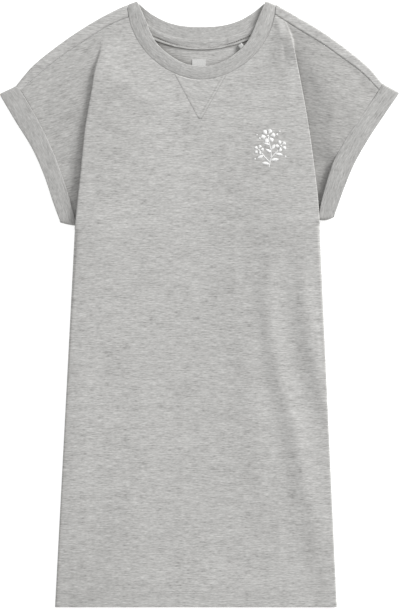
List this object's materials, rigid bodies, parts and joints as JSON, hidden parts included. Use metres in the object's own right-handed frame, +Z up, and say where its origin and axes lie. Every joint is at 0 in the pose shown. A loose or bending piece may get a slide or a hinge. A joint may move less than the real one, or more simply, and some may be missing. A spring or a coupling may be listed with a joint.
{
  "type": "t-shirt dress",
  "caption": "T-shirt dress lying flat: marl jersey, grown-on short sleeves with deep cuffs, round neckband, V insert below it and a turned-up hem.",
  "frame": {"origin": "on the surface the dress lies on, under the middle of its outline", "axes": "+X to the viewer's right, +Y from the hem to the neck, +Z up from the surface to the viewer"},
  "size_m": [0.5278, 0.8003, 0.0124],
  "materials": {
    "marl_jersey": "matte light grey marl knit",
    "white_trim": "matte off-white woven"
  },
  "bodies": {
    "root": {"front": "marl_jersey", "back": "marl_jersey", "neckband": "marl_jersey", "cuff_left": "marl_jersey", "cuff_right": "marl_jersey", "v_insert": "marl_jersey", "neck_tape": "marl_jersey", "neck_label": "white_trim", "ribbon_loop": "white_trim"}
  },
  "joints": []
}
